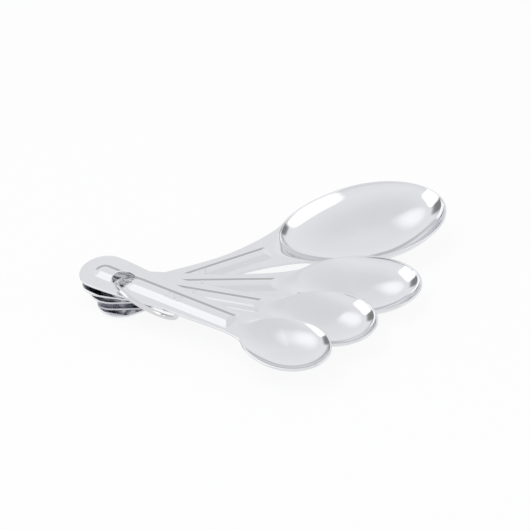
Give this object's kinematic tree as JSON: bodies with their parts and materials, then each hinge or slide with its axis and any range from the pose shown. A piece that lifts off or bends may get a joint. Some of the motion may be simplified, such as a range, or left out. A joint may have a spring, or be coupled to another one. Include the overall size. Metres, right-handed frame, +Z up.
{
  "type": "measuring spoon set",
  "caption": "Fanned set of pressed steel measuring spoons with ribbed handles and egg-shaped bowls, held together by a wire ring.",
  "frame": {"origin": "on the table, under the middle of the fanned set", "axes": "+X from the ring towards the bowls, +Y towards the largest spoon's side of the fan, +Z up"},
  "size_m": [0.135, 0.1226, 0.0161],
  "materials": {
    "spoon_steel": "polished stainless steel",
    "ring_steel": "polished wire"
  },
  "bodies": {
    "tablespoon": {"tablespoon": "spoon_steel"},
    "teaspoon": {"teaspoon": "spoon_steel"},
    "half_teaspoon": {"half_teaspoon": "spoon_steel"},
    "quarter_teaspoon": {"quarter_teaspoon": "spoon_steel"},
    "ring": {"ring": "ring_steel"}
  },
  "joints": [
    {"name": "teaspoon_swing", "type": "hinge", "parent": "tablespoon", "child": "teaspoon", "pos_m": [-0.04348, -0.00169, 0.00438], "axis": [0.0241, 0.1475, -0.9888], "range_deg": [0, 40]},
    {"name": "half_teaspoon_swing", "type": "hinge", "parent": "teaspoon", "child": "half_teaspoon", "pos_m": [-0.04522, -0.00189, 0.00547], "axis": [0.0355, 0.1728, -0.9843], "range_deg": [0, 20]},
    {"name": "quarter_teaspoon_swing", "type": "hinge", "parent": "half_teaspoon", "child": "quarter_teaspoon", "pos_m": [-0.04696, -0.00209, 0.00656], "axis": [0.0713, 0.1681, -0.9832], "range_deg": [0, 20]},
    {"name": "ring_turn", "type": "hinge", "parent": "quarter_teaspoon", "child": "ring", "pos_m": [-0.0426, -0.01322, 0.00759], "axis": [0.4905, 0.2685, 0.829], "continuous": true}
  ]
}
